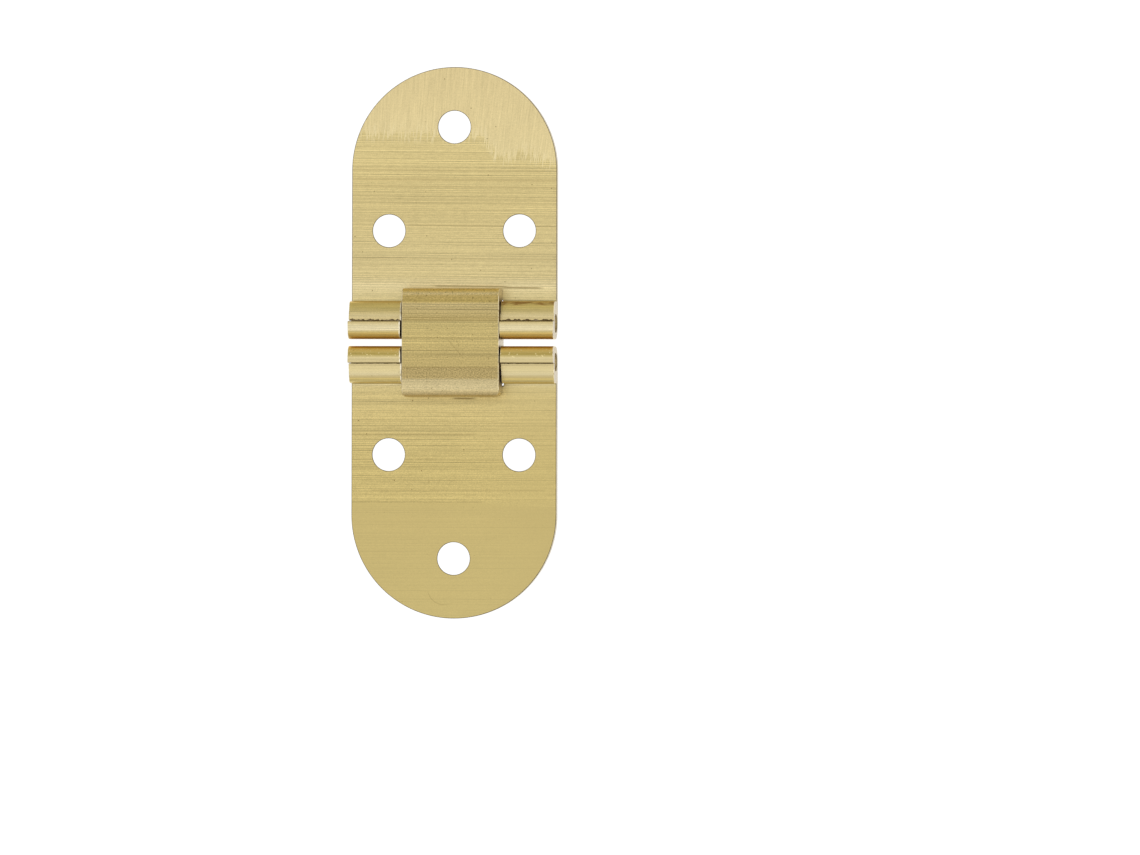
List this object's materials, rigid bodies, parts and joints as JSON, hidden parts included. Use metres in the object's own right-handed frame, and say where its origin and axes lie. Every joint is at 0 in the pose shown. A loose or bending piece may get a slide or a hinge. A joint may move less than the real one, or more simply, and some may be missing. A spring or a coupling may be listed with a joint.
{
  "type": "flap hinge",
  "caption": "Flat brass flap hinge: round-ended leaves joined by a link on parallel pins, lying open and flat, so the leaves fold flat onto each other.",
  "frame": {"origin": "on the plane of the show faces, under the middle of the link, half way between the two pins", "axes": "+Z towards the knuckle side, +Y from the middle along the upper leaf, X along the pins"},
  "size_m": [0.03, 0.08, 0.0056],
  "materials": {
    "leaf_brass": "satin, drawn and belt-sanded",
    "link_brass": "satin, linished",
    "pin_brass": "plain turned"
  },
  "bodies": {
    "lower_leaf": {"lower_leaf": "leaf_brass", "lower_pin": "pin_brass"},
    "link": {"centre_link": "link_brass"},
    "upper_leaf": {"upper_leaf": "leaf_brass", "upper_pin": "pin_brass"}
  },
  "joints": [
    {"name": "lower_pivot", "type": "hinge", "parent": "lower_leaf", "child": "link", "pos_m": [0, -0.0028, 0.0023], "axis": [-1, 0, 0], "range_deg": [0, 90]},
    {"name": "upper_pivot", "type": "hinge", "parent": "link", "child": "upper_leaf", "pos_m": [0, 0.0028, 0.0023], "axis": [-1, 0, 0], "range_deg": [0, 90]}
  ]
}
